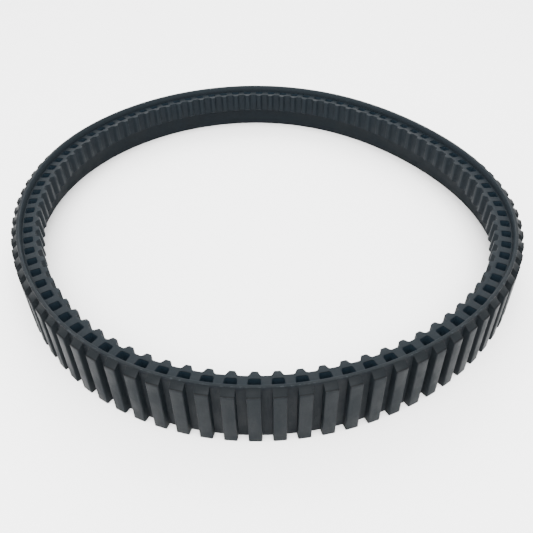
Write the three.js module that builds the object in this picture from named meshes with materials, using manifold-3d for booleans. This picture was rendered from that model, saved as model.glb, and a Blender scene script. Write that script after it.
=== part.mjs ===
// Rubber track of a small crawler: an endless moulded loop lying on its edge.
//
// Outside it carries traction bars, inside it carries drive teeth, and between the two stands
// a ladder of open windows. Fibre cords run round the loop inside the band, on the cord line.
//
// Millimetres, +Z up. The loop stands on z = 0 and is centred on the origin. A place on the
// loop is given by s, the distance along the cord line from the front (-Y) towards +X, by t,
// the distance outwards from the cord line, and by z.
import * as THREE from 'three';
import { mergeVertices } from 'three/addons/utils/BufferGeometryUtils.js';
import Module from 'manifold-3d';

// Loop
const PITCH = 14;
const PITCHES = 90;
const LOOP_LENGTH = PITCH * PITCHES;
// Slow waves that leave the relaxed loop slightly out of round:
// the number of lobes, the height as a share of the radius, and the direction of one lobe.
const SLUMP = [
  { lobes: 2, height: 0.041, towards: -65 },
  { lobes: 3, height: 0.01, towards: -6 },
  { lobes: 4, height: 0.008, towards: -12 },
];
const CURVE_STEPS = 7200;

// Stations: rigid lengths of loop that bend about the cord line where they meet
const STATION_PITCHES = 5;
const STATIONS_EACH_SIDE = 8;
const BEND_LIMIT = THREE.MathUtils.degToRad(15);
const STATION_GAP = 0.15;
const BACK_JOIN_PITCH = 45.5;
const BACK_JOIN_GAP = 0.3;

// Cross-section, as t outwards and z up
const WIDTH = 44;
const GAP = 0.3;
const PLY_HALF = 0.4;
const PLY_BOTTOM = 2;
const PLY_TOP = 37.5;
const LADDER_TOP = 38.5;
const LADDER_BOTTOM = 20.5;
const BAND_INSIDE = -2.4;
const CHANNEL_FLOOR = 2.1;
const BAR_FACE_BOTTOM = 6.5;
const BAR_FACE_TOP = 5.2;
const RIM_OUTER = 0.2;
const RIM_INNER = -1.9;
const BAR_TOP = 41.2;
const WINDOW_OUTER = -2.8;
const WINDOW_INNER = -9.8;
const VALLEY = -11.7;
const TOOTH_TIP = -14.8;
const LINING_TOP = LADDER_TOP - GAP / 2;
const LINING_OVERLAP = 1.5;

// Widths along the loop, at the cord line's pitch
const BAR_FACE_WIDTH = 7.7;
const BAR_ROOT_WIDTH = 8.5;
const WINDOW_OUTER_WIDTH = 8.4;
const WINDOW_INNER_WIDTH = 7.4;
const WINDOW_CORNER = 1.1;
const TOOTH_ROOT_WIDTH = 7.5;
const TOOTH_TIP_WIDTH = 3.9;

// ---------------------------------------------------------------- the loop's curve

function waves(angle) {
  let height = 1;
  let slope = 0;
  for (const wave of SLUMP) {
    const phase = wave.lobes * (angle - THREE.MathUtils.degToRad(wave.towards));
    height += wave.height * Math.cos(phase);
    slope -= wave.height * wave.lobes * Math.sin(phase);
  }
  return { height, slope };
}

function makeCurve() {
  const front = -Math.PI / 2;
  const angles = [];
  const lengths = [0];
  for (let i = 0; i <= CURVE_STEPS; i++) {
    angles.push(front + (2 * Math.PI * i) / CURVE_STEPS);
  }
  const unit = angles.map((angle) => {
    const { height } = waves(angle);
    return new THREE.Vector2(height * Math.cos(angle), height * Math.sin(angle));
  });
  for (let i = 1; i <= CURVE_STEPS; i++) {
    lengths.push(lengths[i - 1] + unit[i].distanceTo(unit[i - 1]));
  }
  const radius = LOOP_LENGTH / lengths[CURVE_STEPS];
  const box = new THREE.Box2().setFromPoints(unit);
  const centre = box.getCenter(new THREE.Vector2()).multiplyScalar(radius);
  return { angles, lengths: lengths.map((length) => length * radius), radius, centre };
}

const curve = makeCurve();

function angleAt(s) {
  const along = ((s % LOOP_LENGTH) + LOOP_LENGTH) % LOOP_LENGTH;
  let low = 0;
  let high = CURVE_STEPS;
  while (high - low > 1) {
    const middle = (low + high) >> 1;
    if (curve.lengths[middle] <= along) {
      low = middle;
    } else {
      high = middle;
    }
  }
  const share = (along - curve.lengths[low]) / (curve.lengths[high] - curve.lengths[low]);
  return curve.angles[low] + share * (curve.angles[high] - curve.angles[low]);
}

function place(s, t, z) {
  const angle = angleAt(s);
  const { height, slope } = waves(angle);
  const cos = Math.cos(angle);
  const sin = Math.sin(angle);
  const outwards = new THREE.Vector2(slope * sin + height * cos, height * sin - slope * cos);
  outwards.normalize().multiplyScalar(t);
  return new THREE.Vector3(
    curve.radius * height * cos - curve.centre.x + outwards.x,
    curve.radius * height * sin - curve.centre.y + outwards.y,
    z,
  );
}

// ---------------------------------------------------------------- stations

// An end face leans back from the hinge line, so that two stations can bend either way.
function endGap(t, isBackJoin) {
  return isBackJoin ? BACK_JOIN_GAP : STATION_GAP + Math.abs(t) * Math.tan(BEND_LIMIT / 2);
}

function makeStation(name, first, last) {
  const start = (first - 0.5) * PITCH;
  const end = (last + 0.5) * PITCH;
  const startsAtJoin = first - 0.5 === BACK_JOIN_PITCH - PITCHES;
  const endsAtJoin = last + 0.5 === BACK_JOIN_PITCH;
  const pitches = [];
  for (let pitch = first; pitch <= last; pitch++) {
    pitches.push(pitch * PITCH);
  }
  return {
    name,
    pitches,
    startAt: (t) => start + endGap(t, startsAtJoin),
    endAt: (t) => end - endGap(t, endsAtJoin),
  };
}

function makeStations() {
  const half = (STATION_PITCHES - 1) / 2;
  const stations = [makeStation('front', -half, half)];
  for (let n = 1; n <= STATIONS_EACH_SIDE; n++) {
    const middle = n * STATION_PITCHES;
    stations.push(makeStation(`right_${n}`, middle - half, middle + half));
    stations.push(makeStation(`left_${n}`, -middle - half, -middle + half));
  }
  const next = STATIONS_EACH_SIDE + 1;
  const edge = STATIONS_EACH_SIDE * STATION_PITCHES + half + 1;
  stations.push(makeStation(`right_${next}`, edge, BACK_JOIN_PITCH - 0.5));
  stations.push(makeStation(`left_${next}`, BACK_JOIN_PITCH + 0.5 - PITCHES, -edge));
  return stations;
}

// ---------------------------------------------------------------- solids

// A closed skin through a row of section loops; each loop is a list of [s, t, z].
function loft(loops) {
  const count = loops[0].length;
  const positions = loops.flat().flatMap(([s, t, z]) => place(s, t, z).toArray());
  const index = [];
  for (let i = 0; i < loops.length - 1; i++) {
    for (let j = 0; j < count; j++) {
      const a = i * count + j;
      const b = i * count + ((j + 1) % count);
      index.push(a, b + count, b, a, a + count, b + count);
    }
  }
  const outline = loops[0].map(([, t, z]) => new THREE.Vector2(t, z));
  const cap = THREE.ShapeUtils.triangulateShape(outline, []);
  const lastLoop = (loops.length - 1) * count;
  for (const [a, b, c] of cap) {
    index.push(a, b, c);
    index.push(lastLoop + a, lastLoop + c, lastLoop + b);
  }
  const geometry = new THREE.BufferGeometry();
  geometry.setAttribute('position', new THREE.Float32BufferAttribute(positions, 3));
  geometry.setIndex(index);
  return geometry;
}

function loopAt(section, sAt) {
  return section.map(([t, z]) => [sAt(t), t, z]);
}

function planPath(Path, outline) {
  return new Path(
    outline.map(([s, t]) => {
      const spot = place(s, t, 0);
      return new THREE.Vector2(spot.x, spot.y);
    }),
  );
}

// A plan outline in (s, t) with its holes, bent round the loop and raised between two heights.
function raise(outline, holes, bottom, top) {
  const shape = planPath(THREE.Shape, outline);
  shape.holes = holes.map((hole) => planPath(THREE.Path, hole));
  const geometry = new THREE.ExtrudeGeometry(shape, { depth: top - bottom, bevelEnabled: false });
  geometry.deleteAttribute('normal');
  geometry.deleteAttribute('uv');
  geometry.translate(0, 0, bottom);
  return mergeVertices(geometry, 1e-4);
}

// Outer cover: the channel floor, the rim above it and the traction bars.
function treadGeometry(station) {
  const slope = (WIDTH - BAR_TOP) / (BAR_FACE_TOP - RIM_OUTER);
  const channelTop = WIDTH - slope * (CHANNEL_FLOOR - RIM_OUTER);
  const inside = PLY_HALF + GAP;
  const section = (bottom, top) => [
    [inside, 0],
    [bottom, 0],
    [top, BAR_TOP],
    [CHANNEL_FLOOR, channelTop],
    [RIM_OUTER, WIDTH],
    [RIM_INNER, WIDTH],
    [BAND_INSIDE, LADDER_TOP + GAP / 2],
    [inside, LADDER_TOP + GAP / 2],
  ];
  const channel = section(CHANNEL_FLOOR, CHANNEL_FLOOR);
  const bar = section(BAR_FACE_BOTTOM, BAR_FACE_TOP);
  const loops = [loopAt(channel, station.startAt)];
  for (const middle of station.pitches) {
    loops.push(loopAt(channel, () => middle - BAR_ROOT_WIDTH / 2));
    loops.push(loopAt(bar, () => middle - BAR_FACE_WIDTH / 2));
    loops.push(loopAt(bar, () => middle + BAR_FACE_WIDTH / 2));
    loops.push(loopAt(channel, () => middle + BAR_ROOT_WIDTH / 2));
  }
  loops.push(loopAt(channel, station.endAt));
  return loft(loops);
}

// The fibre cords, laid side by side round the loop, as one flat ply.
function plyGeometry(station) {
  const section = [
    [-PLY_HALF, PLY_BOTTOM],
    [PLY_HALF, PLY_BOTTOM],
    [PLY_HALF, PLY_TOP],
    [-PLY_HALF, PLY_TOP],
  ];
  const loops = [loopAt(section, station.startAt)];
  for (const middle of station.pitches) {
    loops.push(loopAt(section, () => middle));
  }
  loops.push(loopAt(section, station.endAt));
  return loft(loops);
}

function toothOutline(middle) {
  return [
    [middle - TOOTH_ROOT_WIDTH / 2, VALLEY],
    [middle - TOOTH_TIP_WIDTH / 2, TOOTH_TIP],
    [middle + TOOTH_TIP_WIDTH / 2, TOOTH_TIP],
    [middle + TOOTH_ROOT_WIDTH / 2, VALLEY],
  ];
}

function windowOutline(middle) {
  const outer = WINDOW_OUTER_WIDTH / 2;
  const inner = WINDOW_INNER_WIDTH / 2;
  return [
    [middle - outer, WINDOW_OUTER],
    [middle + outer, WINDOW_OUTER],
    [middle + inner, WINDOW_INNER + WINDOW_CORNER],
    [middle + inner - WINDOW_CORNER, WINDOW_INNER],
    [middle - inner + WINDOW_CORNER, WINDOW_INNER],
    [middle - inner, WINDOW_INNER + WINDOW_CORNER],
  ];
}

// Inner cover: the lining of the band, with the window ladder and drive teeth on its upper part.
function ladderGeometry(station, wasm) {
  const outside = -PLY_HALF - GAP;
  const outerEdge = [
    [station.endAt(outside), outside],
    ...station.pitches.map((middle) => [middle, outside]).reverse(),
    [station.startAt(outside), outside],
  ];
  const block = [
    [station.startAt(VALLEY), VALLEY],
    ...station.pitches.flatMap(toothOutline),
    [station.endAt(VALLEY), VALLEY],
    ...outerEdge,
  ];
  const lining = [
    [station.startAt(BAND_INSIDE), BAND_INSIDE],
    ...station.pitches.map((middle) => [middle, BAND_INSIDE]),
    [station.endAt(BAND_INSIDE), BAND_INSIDE],
    ...outerEdge,
  ];
  const windows = station.pitches.map(windowOutline);
  const ladder = toSolid(raise(block, windows, LADDER_BOTTOM, LINING_TOP), wasm);
  const cover = toSolid(raise(lining, [], 0, LADDER_BOTTOM + LINING_OVERLAP), wasm);
  return fromSolid(ladder.add(cover));
}

function toSolid(geometry, wasm) {
  return new wasm.Manifold(
    new wasm.Mesh({
      numProp: 3,
      vertProperties: new Float32Array(geometry.getAttribute('position').array),
      triVerts: new Uint32Array(geometry.getIndex().array),
    }),
  );
}

function fromSolid(solid) {
  const mesh = solid.getMesh();
  const geometry = new THREE.BufferGeometry();
  geometry.setAttribute('position', new THREE.BufferAttribute(mesh.vertProperties, 3));
  geometry.setIndex(new THREE.BufferAttribute(mesh.triVerts, 1));
  return geometry;
}

// ---------------------------------------------------------------- assembly

const materials = {
  tread: new THREE.MeshStandardMaterial({ color: 0x2b3033, roughness: 0.62, metalness: 0 }),
  ladder: new THREE.MeshStandardMaterial({ color: 0x2e3235, roughness: 0.68, metalness: 0 }),
  ply: new THREE.MeshStandardMaterial({ color: 0xb8a877, roughness: 0.85, metalness: 0 }),
};

function addMesh(group, name, geometry, material) {
  geometry.computeVertexNormals();
  const mesh = new THREE.Mesh(geometry, material);
  mesh.name = name;
  group.add(mesh);
}

const wasm = await Module();
wasm.setup();

const track = new THREE.Group();
for (const station of makeStations()) {
  addMesh(track, `tread_${station.name}`, treadGeometry(station), materials.tread);
  addMesh(track, `cord_ply_${station.name}`, plyGeometry(station), materials.ply);
  addMesh(track, `drive_ladder_${station.name}`, ladderGeometry(station, wasm), materials.ladder);
}

export default track;
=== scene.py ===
"""Looks of a rubber track: an endless moulded loop lying on its edge on a pale floor.

The loop is built flat, as a straight strip, and then bent round the loop's own curve. On the
strip, x runs along the loop from the front, y runs inwards from the cord line and z is up.
"""

import math

import bmesh
import bpy
from mathutils import Matrix, Vector


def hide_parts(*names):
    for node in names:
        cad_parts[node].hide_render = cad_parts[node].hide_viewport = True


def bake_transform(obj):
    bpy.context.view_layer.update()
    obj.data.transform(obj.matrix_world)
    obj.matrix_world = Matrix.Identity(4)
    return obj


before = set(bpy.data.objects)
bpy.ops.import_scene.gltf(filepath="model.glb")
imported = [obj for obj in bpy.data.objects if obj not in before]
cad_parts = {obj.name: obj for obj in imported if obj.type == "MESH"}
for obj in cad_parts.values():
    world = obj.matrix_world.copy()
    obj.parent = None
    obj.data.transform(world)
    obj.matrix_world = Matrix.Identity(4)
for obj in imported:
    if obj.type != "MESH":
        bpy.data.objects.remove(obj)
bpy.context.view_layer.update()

MM = 0.001

# ---------------------------------------------------------------- the loop
PITCH = 14 * MM
PITCHES = 90
SLUMP = [(2, 0.041, -65), (3, 0.010, -6), (4, 0.008, -12)]  # lobes, height, degrees
GUIDE_POINTS = 720

# Each hinge lies on the cord line near the middle of a piece that is five pitches long. The
# first left piece is six, and the last left one is four, where the loop closes.
PIECE_PITCHES = 5
BEND_REACH = 1.85  # pitches from the hinge line to the two points on the cord line that add_track works out
PIECES_EACH_SIDE = 9
LAST_RIGHT_PITCH = 45

# ---------------------------------------------------------------- the section
# Sides are measured inwards from the cord line, and heights upwards from the floor.
WIDTH = 44 * MM
LADDER_TOP = 38.5 * MM
LADDER_BOTTOM = 20.5 * MM
PLY_HALF = 0.55 * MM
PLY_FOOT = 1.8 * MM
PLY_TOP = 37.8 * MM
CORD_SIZE = 1.8 * PLY_HALF
CORD_SPACING = 1.12 * CORD_SIZE
LINING_INSIDE = 2.4 * MM
CHANNEL_FLOOR = -2.1 * MM
CHANNEL_TOP = 43.3 * MM
RIM_OUTER = -0.2 * MM
RIM_INNER = 1.5 * MM
BAR_FOOT = -6.5 * MM
BAR_CREST = -5.2 * MM
BAR_TOP = 40.5 * MM
LEAN = (BAR_CREST - BAR_FOOT) / BAR_TOP  # the outer side leans in by this much per unit of height
CREST_STEP = 0.45 * MM  # the small ledge at the foot of the bars' slope
CREST_DIP = 0.6 * CREST_STEP  # how much lower that ledge lies than where the slope was cut
WINDOW_OUTER = 2.9 * MM
WINDOW_INNER = 9.8 * MM
VALLEY = 11.7 * MM
TOOTH_TIP = 14.8 * MM
TOOTH_SLOPE = 1.6 * MM  # how much higher the lower end of a tooth is at its tip

BAR_ROOT_WIDTH = 8.2 * MM
BAR_FACE_WIDTH = 7.7 * MM
WINDOW_INNER_WIDTH = 7.5 * MM
WINDOW_OUTER_WIDTH = 8.4 * MM
TOOTH_TIP_WIDTH = 3.9 * MM
CELL = PITCH / 2

# Radii of the moulded corners.
BAR_CORNER = 0.7 * MM
BAR_FOOT_CORNER = 0.6 * MM
TREAD_EDGE = 0.35 * MM
WINDOW_CORNER = 1.3 * MM
TOOTH_CORNER = 0.6 * MM
VALLEY_CORNER = 0.9 * MM
LADDER_EDGE = 0.3 * MM

SMALL = 1e-6
TOLERANCE = 1e-5  # how far apart two lengths may be and still count as the same

# ---------------------------------------------------------------- camera and light
CAMERA_LENS = 35.55
CAMERA_PLACE = (8.3 * MM, -378.8 * MM, 278.2 * MM)
CAMERA_LOOK = (-0.00949, 0.75712, -0.65321)
CAMERA_ROLL = -1.06  # degrees
FLOOR_SIZE = 6  # metres
ROOM_LIGHT = 2.7
LAMPS = [  # name, place, size of the soft box, power
    ("top", (0.0, -0.7, 1.6), 1.7, 95),
    ("back", (0.0, 1.7, 1.5), 1.6, 60),
    ("key", (-1.3, -0.9, 0.7), 0.9, 5),
]

# ---------------------------------------------------------------- tones and gloss of the rubber
SHEEN = 0.08
TREAD_TONE = (0.0028, 0.0044, 0.0057)
SLOPE_TONE = (0.0030, 0.0042, 0.0052)
# Painted light: the ladder is the same rubber as the tread, tinted lighter so its upward faces and
# the far teeth look more brightly lit.
LADDER_LIT_TONE = (0.0040, 0.0062, 0.0082)
# Painted shade: a near-black line in the crease at the foot of the bars' slope.
CREASE_SHADE_TONE = (0.0010, 0.0014, 0.0017)
# Painted shade: the channel floors between the bars are darkened, most just under the rim.
CHANNEL_SHADE_TONE = (0.0009, 0.0022, 0.0038)
# Painted light: a paler bluish tone on the walls inside the windows, standing in for light that
# reaches into them.
WINDOW_LIGHT_TONE = (0.0068, 0.0125, 0.0180)
# Painted light: the rim's inner wall is tinted lighter to lift the shade on it.
RIM_WALL_LIGHT_TONE = (0.0080, 0.0112, 0.0140)


# ---------------------------------------------------------------- the loop's curve
def slumped(angle):
    """The relaxed loop's radius at an angle, as a share of the mean."""
    return 1 + sum(
        height * math.cos(lobes * (angle - math.radians(towards)))
        for lobes, height, towards in SLUMP
    )


def loop_points(count):
    """Points round the cord line from the front, anticlockwise seen from above."""
    unit = []
    for i in range(count):
        angle = -math.pi / 2 + 2 * math.pi * i / count
        unit.append(Vector((math.cos(angle), math.sin(angle), 0)) * slumped(angle))
    length = sum((unit[i] - unit[i - 1]).length for i in range(count))
    radius = PITCH * PITCHES / length
    low = Vector((min(p.x for p in unit), min(p.y for p in unit), 0))
    high = Vector((max(p.x for p in unit), max(p.y for p in unit), 0))
    return [(p - (low + high) / 2) * radius for p in unit]


def add_guide():
    """The cord line as a closed curve that the strip is bent along."""
    data = bpy.data.curves.new("guide", "CURVE")
    data.dimensions = "3D"
    data.twist_mode = "Z_UP"
    spline = data.splines.new("POLY")
    points = loop_points(GUIDE_POINTS)
    spline.points.add(len(points) - 1)
    for point, place in zip(spline.points, points):
        point.co = (*place, 1)
    spline.use_cyclic_u = True
    guide = bpy.data.objects.new("guide", data)
    bpy.context.scene.collection.objects.link(guide)
    return guide


def on_loop(along):
    """The point of the cord line at a distance from the front."""
    points = loop_points(GUIDE_POINTS)
    left = along % (PITCH * PITCHES)
    for here, there in zip(points, points[1:] + points[:1]):
        step = (there - here).length
        if left <= step:
            return here.lerp(there, left / step)
        left -= step
    return points[0]


# ---------------------------------------------------------------- hand tools
def deselect_all():
    for item in bpy.context.selected_objects:
        item.select_set(False)


def use(item):
    deselect_all()
    item.select_set(True)
    bpy.context.view_layer.objects.active = item


def add_block(name, low, high):
    """A box between two corners, open for editing."""
    deselect_all()
    low, high = Vector(low), Vector(high)
    bpy.ops.mesh.primitive_cube_add(size=1, location=(low + high) / 2, scale=high - low)
    block = bpy.context.object
    block.name = name
    bpy.ops.object.transform_apply(location=True, rotation=True, scale=True)
    bpy.ops.object.mode_set(mode="EDIT")
    return block


def pick(kind, wanted):
    """Selects the verts, edges or faces that a test wants, and nothing else."""
    bpy.ops.mesh.select_mode(type={"verts": "VERT", "edges": "EDGE", "faces": "FACE"}[kind])
    bpy.ops.mesh.select_all(action="DESELECT")
    mesh = bmesh.from_edit_mesh(bpy.context.edit_object.data)
    for item in getattr(mesh, kind):
        if wanted(item):
            item.select_set(True)
    mesh.select_flush_mode()
    bmesh.update_edit_mesh(bpy.context.edit_object.data)


def cut(**at):
    """Cuts edge lines right across the block, at a value of x, y or z."""
    for axis, value in at.items():
        bpy.ops.mesh.select_mode(type="VERT")
        bpy.ops.mesh.select_all(action="SELECT")
        index = "xyz".index(axis)
        place = Vector((0, 0, 0))
        place[index] = value
        normal = Vector((0, 0, 0))
        normal[index] = 1
        bpy.ops.mesh.bisect(plane_co=place, plane_no=normal)


def near(a, b):
    return abs(a - b) < TOLERANCE


def middle(edge):
    return (edge.verts[0].co + edge.verts[1].co) / 2


def upright(edge):
    return abs((edge.verts[0].co - edge.verts[1].co).normalized().z) > 0.97


def extrude(x=0, y=0, z=0):
    bpy.ops.mesh.extrude_region_move(TRANSFORM_OT_translate={"value": (x, y, z)})


def move(x=0, y=0, z=0):
    bpy.ops.transform.translate(value=(x, y, z))


def widen(share):
    """Scales what is selected along the strip, about the middle of the cell."""
    bpy.ops.transform.resize(value=(share, 1, 1), center_override=(0, 0, 0))


def round_edges(radius, steps=3):
    bpy.ops.mesh.bevel(offset=radius, segments=steps, profile=0.5, affect="EDGES")


def open_ends():
    pick("faces", lambda f: all(near(abs(v.co.x), CELL) for v in f.verts))
    bpy.ops.mesh.delete(type="FACE")


def soften(item, radius, angle=35):
    """Leaves edit mode and rounds every edge that is sharper than an angle."""
    bpy.ops.object.mode_set(mode="OBJECT")
    use(item)
    bevel = item.modifiers.new("soft edges", "BEVEL")
    bevel.width = radius
    bevel.segments = 2
    bevel.limit_method = "ANGLE"
    bevel.angle_limit = math.radians(angle)
    bpy.ops.object.modifier_apply(modifier=bevel.name)


# ---------------------------------------------------------------- one pitch of each part
def tread_cell():
    """Outer cover: a channel floor under a rim, with one traction bar."""
    cell = add_block("tread_cell", (-CELL, CHANNEL_FLOOR, 0), (CELL, -PLY_HALF, WIDTH))
    cut(z=LADDER_TOP)
    cut(z=PLY_FOOT)
    pick("faces", lambda f: f.normal.y > 0.9 and f.calc_center_median().z > LADDER_TOP)
    extrude(y=LINING_INSIDE + PLY_HALF)
    pick("faces", lambda f: f.normal.y > 0.9 and f.calc_center_median().z < PLY_FOOT)
    extrude(y=2 * PLY_HALF)
    cut(y=RIM_OUTER)
    pick("verts", lambda v: near(v.co.y, CHANNEL_FLOOR) and near(v.co.z, WIDTH))
    move(z=CHANNEL_TOP - WIDTH)
    pick("verts", lambda v: near(v.co.y, LINING_INSIDE) and near(v.co.z, WIDTH))
    move(y=RIM_INNER - LINING_INSIDE)
    cut(x=-BAR_ROOT_WIDTH / 2)
    cut(x=BAR_ROOT_WIDTH / 2)
    for level in (PLY_FOOT, LADDER_TOP, CHANNEL_TOP):
        pick("verts", lambda v: near(v.co.y, CHANNEL_FLOOR) and near(v.co.z, level))
        move(y=LEAN * level)
    pick("faces", lambda f: f.normal.y < -0.9 and abs(f.calc_center_median().x) < SMALL
         and f.calc_center_median().z < CHANNEL_TOP)
    extrude(y=BAR_FOOT - CHANNEL_FLOOR)
    widen(BAR_FACE_WIDTH / BAR_ROOT_WIDTH)
    face_top = BAR_FOOT + LEAN * CHANNEL_TOP
    pick("verts", lambda v: near(v.co.y, face_top) and near(v.co.z, CHANNEL_TOP))
    move(y=BAR_CREST - face_top, z=BAR_TOP - CHANNEL_TOP)
    cut(z=BAR_TOP + CREST_STEP)
    on_bar = CHANNEL_FLOOR - 1 * MM  # whatever is further out than this belongs to the bar
    pick("verts", lambda v: near(v.co.z, BAR_TOP + CREST_STEP) and v.co.y < on_bar)
    move(y=CREST_STEP, z=-CREST_DIP)
    pick("edges", lambda e: upright(e) and middle(e).y < on_bar)
    round_edges(BAR_CORNER)
    pick("edges", lambda e: near(middle(e).z, 0) and middle(e).y < on_bar
         and abs((e.verts[0].co - e.verts[1].co).z) < SMALL)
    round_edges(BAR_FOOT_CORNER, steps=2)
    open_ends()
    soften(cell, TREAD_EDGE)
    return cell


def ladder_cell():
    """Inner cover: the lining of the band, one window, two half webs and one drive tooth."""
    cell = add_block("ladder_cell", (-CELL, PLY_HALF, LADDER_BOTTOM), (CELL, VALLEY, LADDER_TOP))
    half = WINDOW_INNER_WIDTH / 2
    cut(y=LINING_INSIDE)
    cut(y=WINDOW_OUTER)
    cut(y=WINDOW_INNER)
    cut(x=-half)
    cut(x=half)

    def over_window(f):
        place = f.calc_center_median()
        return abs(f.normal.z) > 0.9 and abs(place.x) < half and WINDOW_OUTER < place.y < WINDOW_INNER

    pick("faces", over_window)
    bpy.ops.mesh.delete(type="ONLY_FACE")
    pick("edges", lambda e: e.is_boundary)
    bpy.ops.mesh.bridge_edge_loops()
    pick("verts", lambda v: near(v.co.y, WINDOW_OUTER) and near(abs(v.co.x), half))
    widen(WINDOW_OUTER_WIDTH / WINDOW_INNER_WIDTH)
    pick("faces", lambda f: f.normal.y > 0.9 and near(f.calc_center_median().y, VALLEY)
         and abs(f.calc_center_median().x) < half)
    extrude(y=TOOTH_TIP - VALLEY)
    widen(TOOTH_TIP_WIDTH / WINDOW_INNER_WIDTH)
    pick("verts", lambda v: near(v.co.y, TOOTH_TIP) and near(v.co.z, LADDER_BOTTOM))
    move(z=TOOTH_SLOPE)
    corners = (WINDOW_INNER, WINDOW_INNER_WIDTH / 2), (WINDOW_OUTER, WINDOW_OUTER_WIDTH / 2)
    for y, x in corners:
        pick("edges", lambda e: upright(e) and near(middle(e).y, y) and near(abs(middle(e).x), x))
        round_edges(WINDOW_CORNER, steps=4)
    pick("edges", lambda e: upright(e) and near(middle(e).y, TOOTH_TIP))
    round_edges(TOOTH_CORNER)
    pick("edges", lambda e: upright(e) and near(middle(e).y, VALLEY) and near(abs(middle(e).x), half))
    round_edges(VALLEY_CORNER)
    pick("faces", lambda f: f.normal.z < -0.9 and f.calc_center_median().y < LINING_INSIDE)
    extrude(z=-LADDER_BOTTOM)
    open_ends()
    soften(cell, LADDER_EDGE)
    return cell


def cord_cell():
    """The tensile cords, side by side, over one pitch."""
    deselect_all()
    bpy.ops.mesh.primitive_cylinder_add(
        vertices=6, radius=CORD_SIZE / 2, depth=PITCH, end_fill_type="NOTHING",
        location=(0, 0, PLY_FOOT + CORD_SIZE), rotation=(0, math.pi / 2, 0),
    )
    cell = bpy.context.object
    cell.name = "cord_cell"
    bpy.ops.object.transform_apply(location=True, rotation=True, scale=True)
    bpy.ops.object.mode_set(mode="EDIT")
    cut(x=0)
    bpy.ops.object.mode_set(mode="OBJECT")
    row = cell.modifiers.new("side by side", "ARRAY")
    row.use_relative_offset = False
    row.use_constant_offset = True
    row.constant_offset_displace = (0, 0, CORD_SPACING)
    row.count = int((PLY_TOP - PLY_FOOT - CORD_SIZE) / CORD_SPACING)
    use(cell)
    bpy.ops.object.modifier_apply(modifier=row.name)
    return cell


# ---------------------------------------------------------------- pieces
def keep_strip_places(piece):
    """Stores each point's place on the straight strip, which the finish follows."""
    places = piece.data.attributes.new("strip", "FLOAT_VECTOR", "POINT")
    flat = [value for vertex in piece.data.vertices for value in vertex.co]
    places.data.foreach_set("vector", flat)


def make_piece(name, cell, first, last, guide, finish):
    """Copies of a cell from one pitch to another, joined, closed and bent round the loop."""
    copies = []
    for pitch in range(first, last + 1):
        copy = cell.copy()
        copy.data = cell.data.copy()
        bpy.context.scene.collection.objects.link(copy)
        copy.data.transform(Matrix.Translation((pitch * PITCH, 0, 0)))
        copies.append(copy)
    deselect_all()
    for copy in copies:
        copy.select_set(True)
    bpy.context.view_layer.objects.active = copies[0]
    bpy.ops.object.join()
    piece = bpy.context.object
    piece.name = name
    piece.data.name = name
    bpy.ops.object.mode_set(mode="EDIT")
    bpy.ops.mesh.select_all(action="SELECT")
    bpy.ops.mesh.remove_doubles(threshold=SMALL)
    for end in ((first - 0.5) * PITCH, (last + 0.5) * PITCH):
        pick("edges", lambda e: e.is_boundary and near(middle(e).x, end))
        bpy.ops.mesh.fill()
    pick("verts", lambda v: v.co.z < 0)
    bpy.ops.transform.resize(value=(1, 1, 0), center_override=(0, 0, 0))
    bpy.ops.mesh.select_all(action="SELECT")
    bpy.ops.mesh.normals_make_consistent(inside=False)
    bpy.ops.object.mode_set(mode="OBJECT")
    keep_strip_places(piece)
    bend = piece.modifiers.new("round the loop", "CURVE")
    bend.object = guide
    bend.deform_axis = "POS_X"
    use(piece)
    bpy.ops.object.modifier_apply(modifier=bend.name)
    bpy.ops.object.shade_smooth_by_angle(angle=math.radians(32))
    piece.data.materials.clear()
    piece.data.materials.append(finish)
    return piece


def spans():
    """For each piece: its side and number, first and last pitch, and the hinge's pitch."""
    rows = []
    for n in range(1, PIECES_EACH_SIDE + 1):
        hinge = PIECE_PITCHES * n - PIECE_PITCHES / 2
        top = PIECE_PITCHES * n
        rows.append((f"right_{n}", top - PIECE_PITCHES + 1, min(top, LAST_RIGHT_PITCH), hinge))
        first = max(-top, LAST_RIGHT_PITCH + 1 - PITCHES)
        last = -top + PIECE_PITCHES - 1 if n > 1 else 0
        rows.append((f"left_{n}", first, last, -hinge))
    return rows


def add_track(finishes):
    guide = add_guide()
    cells = {"tread": tread_cell(), "drive_ladder": ladder_cell(), "cord_ply": cord_cell()}
    for body, first, last, hinge in spans():
        reach = math.copysign(BEND_REACH, hinge)
        start = on_loop((hinge - reach) * PITCH)
        end = on_loop((hinge + reach) * PITCH)
        for part, cell in cells.items():
            piece = make_piece(f"{part}_{body}_moulding", cell, first, last, guide, finishes[part])
            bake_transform(piece)
            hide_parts(f"{part}_{body}")
            if body == "left_1":
                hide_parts(f"{part}_front")
    for item in (guide, *cells.values()):
        bpy.data.objects.remove(item)


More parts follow.
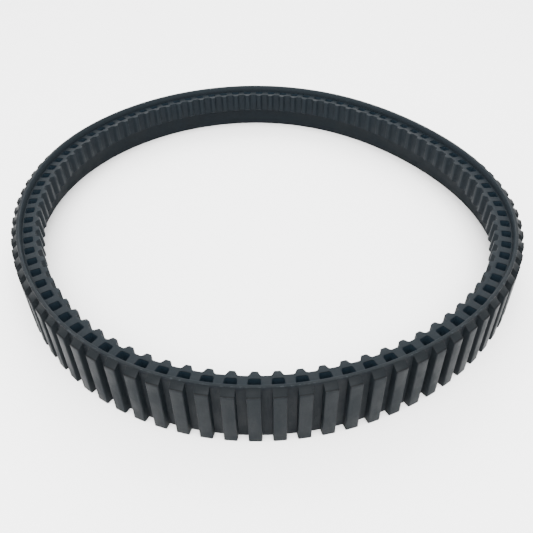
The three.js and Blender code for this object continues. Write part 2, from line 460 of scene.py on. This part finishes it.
# ---------------------------------------------------------------- finishes
class Finish:
    """A material's node tree, with short calls for the nodes that the finishes use."""

    def __init__(self, name):
        self.material = bpy.data.materials.new(name)
        self.material.use_nodes = True
        self.tree = self.material.node_tree
        self.shader = self.tree.nodes["Principled BSDF"]
        coordinates = self.tree.nodes.new("ShaderNodeTexCoord")
        self.place = coordinates.outputs["Object"]
        attribute = self.tree.nodes.new("ShaderNodeAttribute")
        attribute.attribute_name = "strip"
        self.strip = attribute.outputs["Vector"]
        parts = self.tree.nodes.new("ShaderNodeSeparateXYZ")
        self.join(self.strip, parts.inputs[0])
        self.along, self.inwards, self.height = parts.outputs

    def join(self, source, socket):
        """Links a source to a socket, or sets the socket where the source is a plain value."""
        if isinstance(source, bpy.types.NodeSocket):
            self.tree.links.new(source, socket)
        else:
            socket.default_value = source

    def math(self, operation, a, b=0.0, clamp=False):
        node = self.tree.nodes.new("ShaderNodeMath")
        node.operation = operation
        node.use_clamp = clamp
        self.join(a, node.inputs[0])
        self.join(b, node.inputs[1])
        return node.outputs[0]

    def noise(self, size, detail=3.0, roughness=0.55, where=None):
        """Soft noise whose blotches are about a size, in metres, across."""
        node = self.tree.nodes.new("ShaderNodeTexNoise")
        node.inputs["Scale"].default_value = 1 / size
        node.inputs["Detail"].default_value = detail
        node.inputs["Roughness"].default_value = roughness
        self.join(where or self.place, node.inputs["Vector"])
        return node.outputs["Fac"]

    def stretch(self, scale):
        """The strip's own coordinates, squeezed by a factor along each axis."""
        node = self.tree.nodes.new("ShaderNodeMapping")
        node.inputs["Scale"].default_value = scale
        self.join(self.strip, node.inputs["Vector"])
        return node.outputs[0]

    def spread(self, value, low, high, to_low=0.0, to_high=1.0):
        """Maps a value from one range to another, with soft ends."""
        node = self.tree.nodes.new("ShaderNodeMapRange")
        node.interpolation_type = "SMOOTHSTEP"
        self.join(value, node.inputs["Value"])
        limits = {"From Min": low, "From Max": high, "To Min": to_low, "To Max": to_high}
        for limit, amount in limits.items():
            node.inputs[limit].default_value = amount
        return node.outputs["Result"]

    def blend(self, share, first, second):
        node = self.tree.nodes.new("ShaderNodeMix")
        node.data_type = "RGBA"
        self.join(share, node.inputs["Factor"])
        colours = [socket for socket in node.inputs if socket.type == "RGBA"]
        self.join(first, colours[0])
        self.join(second, colours[1])
        return next(socket for socket in node.outputs if socket.type == "RGBA")

    def bump(self, height, strength, distance, over=None):
        node = self.tree.nodes.new("ShaderNodeBump")
        node.inputs["Strength"].default_value = strength
        node.inputs["Distance"].default_value = distance
        self.join(height, node.inputs["Height"])
        if over:
            self.join(over, node.inputs["Normal"])
        return node.outputs["Normal"]

    def near_line(self, inwards, height, reach):
        """1 on a line that runs along the strip, falling to 0 at a distance from it."""
        across = self.math("SUBTRACT", self.inwards, inwards)
        up = self.math("SUBTRACT", self.height, height)
        square = self.math("ADD", self.math("POWER", across, 2.0), self.math("POWER", up, 2.0))
        return self.spread(self.math("SQRT", square), 0.0, reach, 1.0, 0.0)

    def set(self, **values):
        for name, value in values.items():
            self.join(value, self.shader.inputs[name.replace("_", " ")])


def off_centre(finish):
    """How far along the strip a point is from the middle of its pitch."""
    return finish.math("PINGPONG", finish.along, PITCH / 2)


def outside_rim(finish):
    """1 on everything further out than the rim, 0 elsewhere."""
    return finish.spread(finish.inwards, RIM_OUTER - 0.5 * MM, RIM_OUTER, 1.0, 0.0)


def painted_window_light(finish):
    """1 on the walls inside the ladder's windows, where painted light lifts the dark pits, 0
    elsewhere.
    """
    soft = 0.3 * MM
    half = WINDOW_OUTER_WIDTH / 2
    beside = finish.spread(off_centre(finish), half, half + soft, 1.0, 0.0)
    inner = finish.spread(finish.inwards, WINDOW_INNER, WINDOW_INNER + soft, 1.0, 0.0)
    outer = finish.spread(finish.inwards, WINDOW_OUTER - soft, WINDOW_OUTER)
    below = finish.spread(finish.height, LADDER_TOP - 3 * soft, LADDER_TOP - soft, 1.0, 0.0)
    walls = finish.math("MULTIPLY", beside, finish.math("MULTIPLY", inner, outer))
    return finish.math("MULTIPLY", walls, below)


def on_bar_slope(finish):
    """1 on the matt slope between the rim and the crest of the bars, 0 elsewhere."""
    above = finish.spread(finish.height, BAR_TOP, BAR_TOP + CREST_STEP)
    return finish.math("MULTIPLY", outside_rim(finish), above)


def painted_crease_shade(finish):
    """1 along the painted shade line at the foot of the bars' slope, 0 elsewhere."""
    return finish.near_line(BAR_CREST + CREST_STEP, BAR_TOP + 0.1 * MM, 0.8 * MM)


def painted_channel_shade(finish):
    """Painted shade on the floor between the bars, strongest just under the rim."""
    half = BAR_ROOT_WIDTH / 2
    beside = finish.spread(off_centre(finish), half, half + 0.3 * MM)
    floor = finish.math("MULTIPLY", beside, outside_rim(finish))
    shade_strength = finish.spread(finish.height, CHANNEL_TOP - 3 * MM, CHANNEL_TOP - 1 * MM, 0.3, 0.8)
    return finish.math("MULTIPLY", floor, shade_strength)


def painted_rim_wall_light(finish):
    """1 on the rim's inner side, which is painted lighter as fill light on its shade, 0 elsewhere."""
    inside = finish.spread(finish.inwards, RIM_INNER - 0.6 * MM, RIM_INNER)
    above = finish.spread(finish.height, LADDER_TOP - 0.2 * MM, LADDER_TOP)
    return finish.math("MULTIPLY", inside, above)


def rubber(name, tone, edges, zones):
    """Moulded black rubber: fine satin grain, faint bloom, toned zones (some of them painted light
    and shade) and scuffed edges, lightened as wear and as a painted edge highlight.
    """
    finish = Finish(name)
    bloom = finish.spread(finish.noise(18 * MM, detail=4.0), 0.35, 0.68)
    mottle = finish.spread(finish.noise(2.2 * MM, detail=5.0), 0.3, 0.7)
    grain = finish.noise(0.28 * MM, detail=2.0)
    streaks = finish.noise(1.0, detail=3.0, where=finish.stretch((160, 900, 60)))
    dark = tuple(0.82 * part for part in tone) + (1,)
    plain = tone + (1,)
    pale = tuple(1.22 * part + 0.0004 for part in tone) + (1,)
    worn_and_lit = tuple(1.9 * part + 0.008 for part in tone) + (1,)
    colour = finish.blend(bloom, plain, pale)
    colour = finish.blend(finish.math("MULTIPLY", mottle, 0.45), colour, dark)
    for zone, zone_tone in zones:
        colour = finish.blend(zone(finish), colour, zone_tone + (1,))
    wear_and_highlight = 0.0
    # Lighter lines along edges: scuff wear, and on the rim's outer edge also a painted highlight.
    for inwards, height, reach, amount in edges:
        line = finish.math("MULTIPLY", finish.near_line(inwards, height, reach), amount)
        wear_and_highlight = finish.math("MAXIMUM", wear_and_highlight, line)
    patches = finish.spread(finish.noise(9 * MM, detail=4.0), 0.42, 0.66)
    rubbed = finish.math("MULTIPLY", patches, finish.spread(mottle, 0.3, 0.75))
    wear_and_highlight = finish.math("MULTIPLY", wear_and_highlight, rubbed, clamp=True)
    colour = finish.blend(wear_and_highlight, colour, worn_and_lit)
    roughness = finish.spread(finish.math("ADD", bloom, streaks), 0.3, 1.5, 0.5, 0.66)
    roughness = finish.math("SUBTRACT", roughness, finish.math("MULTIPLY", wear_and_highlight, 0.1))
    soft = finish.bump(mottle, 0.35, 0.05 * MM)
    fine = finish.bump(grain, 0.5, 0.03 * MM, over=soft)
    finish.set(Base_Color=colour, Roughness=roughness, Normal=fine, Specular_IOR_Level=SHEEN)
    return finish.material


def cord_fibre():
    """Undyed twisted cord with rubber dip between the strands."""
    finish = Finish("cord fibre")
    twist = finish.tree.nodes.new("ShaderNodeTexWave")
    twist.bands_direction = "DIAGONAL"
    twist.inputs["Scale"].default_value = 260
    twist.inputs["Distortion"].default_value = 1.2
    finish.join(finish.strip, twist.inputs["Vector"])
    strand = twist.outputs["Fac"]
    fuzz = finish.noise(0.4 * MM, detail=4.0)
    colour = finish.blend(strand, (0.16, 0.12, 0.065, 1), (0.42, 0.34, 0.19, 1))
    colour = finish.blend(finish.spread(fuzz, 0.55, 0.8), colour, (0.03, 0.03, 0.028, 1))
    roughness = finish.spread(fuzz, 0.2, 0.8, 0.7, 0.9)
    finish.set(Base_Color=colour, Roughness=roughness, Normal=finish.bump(strand, 0.6, 0.1 * MM))
    return finish.material


# ---------------------------------------------------------------- studio
def add_camera():
    data = bpy.data.cameras.new("camera")
    data.lens = CAMERA_LENS
    camera = bpy.data.objects.new("camera", data)
    bpy.context.scene.collection.objects.link(camera)
    camera.location = CAMERA_PLACE
    turn = Vector(CAMERA_LOOK).to_track_quat("-Z", "Y").to_matrix()
    roll = Matrix.Rotation(math.radians(CAMERA_ROLL), 3, "Z")
    camera.rotation_euler = (turn @ roll).to_euler()
    bpy.context.scene.camera = camera


def add_lamp(name, place, size, power, target=(0, 0, 0)):
    """A square soft box that faces a target."""
    data = bpy.data.lights.new(name, "AREA")
    data.size = size
    data.energy = power
    lamp = bpy.data.objects.new(name, data)
    bpy.context.scene.collection.objects.link(lamp)
    lamp.location = place
    lamp.rotation_euler = (Vector(target) - Vector(place)).to_track_quat("-Z", "Y").to_euler()


def add_studio():
    deselect_all()
    bpy.ops.mesh.primitive_plane_add(size=FLOOR_SIZE, location=(0, 0, 0))
    floor = bpy.context.object
    floor.name = "floor"
    finish = Finish("pale floor")
    tint = finish.blend(finish.noise(0.5), (0.93, 0.93, 0.93, 1), (0.95, 0.95, 0.95, 1))
    finish.set(Base_Color=tint, Roughness=0.9)
    floor.data.materials.append(finish.material)
    world = bpy.data.worlds.new("studio")
    world.use_nodes = True
    background = world.node_tree.nodes["Background"]
    background.inputs["Color"].default_value = (1, 1, 1, 1)
    background.inputs["Strength"].default_value = ROOM_LIGHT
    bpy.context.scene.world = world
    for name, place, size, power in LAMPS:
        add_lamp(name, place, size, power)


TREAD_ZONES = [
    (on_bar_slope, SLOPE_TONE), (painted_crease_shade, CREASE_SHADE_TONE),
    (painted_channel_shade, CHANNEL_SHADE_TONE), (painted_rim_wall_light, RIM_WALL_LIGHT_TONE),
]
# Each line: inwards, height, reach, amount. The rim's outer edge line stands for scuffing and a
# painted highlight.
TREAD_SCUFFS_AND_HIGHLIGHT = [(RIM_OUTER, WIDTH, 0.9 * MM, 1.0), (BAR_CREST, BAR_TOP, 0.6 * MM, 0.3)]
LADDER_SCUFFS = [(TOOTH_TIP, LADDER_TOP, 0.8 * MM, 0.35)]

add_camera()
finishes = {
    "tread": rubber("tread rubber", TREAD_TONE, TREAD_SCUFFS_AND_HIGHLIGHT, TREAD_ZONES),
    "drive_ladder": rubber("ladder rubber", LADDER_LIT_TONE, LADDER_SCUFFS, [(painted_window_light, WINDOW_LIGHT_TONE)]),
    "cord_ply": cord_fibre(),
}
add_track(finishes)
add_studio()
